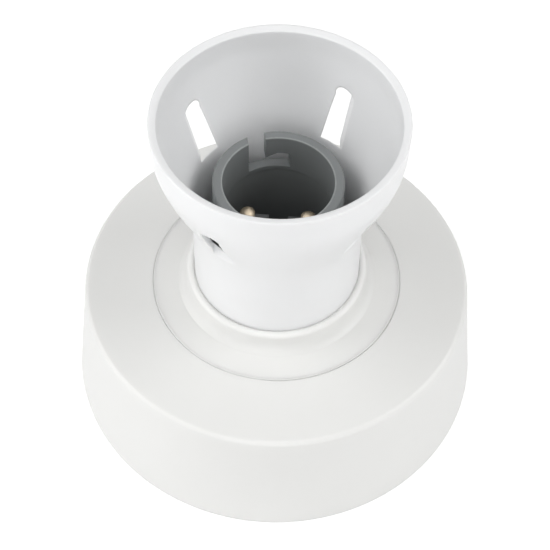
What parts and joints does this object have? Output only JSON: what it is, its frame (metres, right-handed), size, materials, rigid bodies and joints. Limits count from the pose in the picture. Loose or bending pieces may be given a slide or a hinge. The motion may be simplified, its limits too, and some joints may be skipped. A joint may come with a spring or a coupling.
{
  "type": "batten lamp holder",
  "caption": "Surface-mounted lamp socket for a two-pin bayonet cap, with a round lift-off cover and a flared slotted skirt.",
  "frame": {"origin": "centre of the flat back face, the face that lies against the ceiling", "axes": "+Z runs out of the socket's mouth along its axis; the two contact plungers stand on the X axis"},
  "size_m": [0.0876, 0.0876, 0.0791],
  "materials": {
    "white_moulding": "satin warm white moulding",
    "skirt_moulding": "satin cool white moulding",
    "grey_moulding": "matt grey moulding",
    "dark_insulator": "matt dark insulating moulding",
    "brass": "turned brass, lightly dulled",
    "plated_steel": "bright zinc plate"
  },
  "bodies": {
    "base": {"mounting_base": "white_moulding", "lampholder_body": "white_moulding", "socket_sleeve": "grey_moulding", "contact_carrier": "dark_insulator", "terminal_pillar_left": "brass", "terminal_pillar_right": "brass", "plunger_spring_left": "plated_steel", "plunger_spring_right": "plated_steel", "terminal_screw_left": "brass", "terminal_screw_right": "brass", "loop_terminal": "brass", "loop_terminal_screw": "plated_steel", "earth_terminal": "brass", "earth_terminal_screw": "plated_steel", "body_screws": "plated_steel", "base_inserts": "brass", "carrier_screws": "plated_steel"},
    "cover": {"cover": "white_moulding"},
    "skirt": {"skirt": "skirt_moulding"},
    "plunger_left": {"plunger_left": "brass"},
    "plunger_right": {"plunger_right": "brass"}
  },
  "joints": [
    {"name": "cover_lift", "type": "slide", "parent": "base", "child": "cover", "axis": [0, 0, 1], "range_m": [0, 0.08]},
    {"name": "skirt_lift", "type": "slide", "parent": "base", "child": "skirt", "axis": [0, 0, 1], "range_m": [0, 0.04]},
    {"name": "plunger_left_press", "type": "slide", "parent": "base", "child": "plunger_left", "axis": [0, 0, -1], "range_m": [0, 0.0032], "stiffness_N_per_m": 1200, "springref_m": -0.002, "deforming": ["plunger_spring_left"]},
    {"name": "plunger_right_press", "type": "slide", "parent": "base", "child": "plunger_right", "axis": [0, 0, -1], "range_m": [0, 0.0032], "stiffness_N_per_m": 1200, "springref_m": -0.002, "deforming": ["plunger_spring_right"]}
  ]
}
